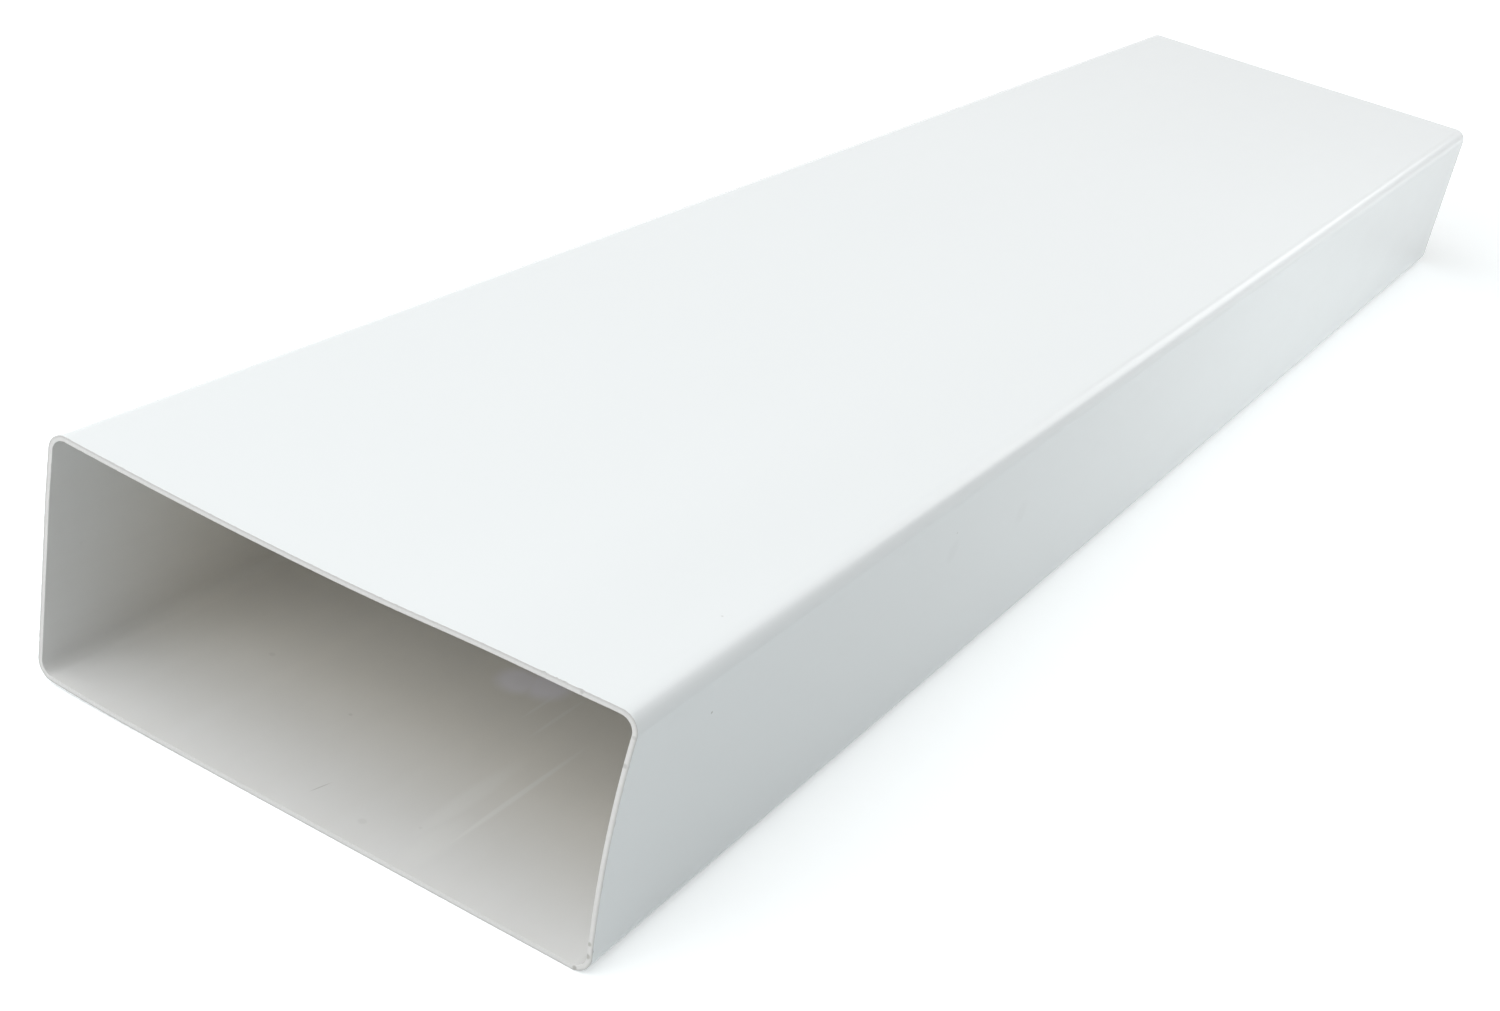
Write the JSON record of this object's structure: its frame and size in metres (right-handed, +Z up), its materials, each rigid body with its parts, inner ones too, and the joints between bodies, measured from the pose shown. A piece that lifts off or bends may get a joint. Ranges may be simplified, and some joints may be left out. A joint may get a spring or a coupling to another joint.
{
  "type": "flat channel duct",
  "caption": "Straight length of flat rectangular ventilation duct in white rigid plastic, extruded with rounded long corners and open at both sawn ends.",
  "frame": {"origin": "on the floor, under the middle of the duct", "axes": "+X across the width, +Y along the length away from the end that shows open, +Z up"},
  "size_m": [0.22, 1, 0.09],
  "materials": {
    "white_pvc": "smooth glossy extruded surface, dull and slightly rough where sawn"
  },
  "bodies": {
    "root": {"duct": "white_pvc"}
  },
  "joints": []
}
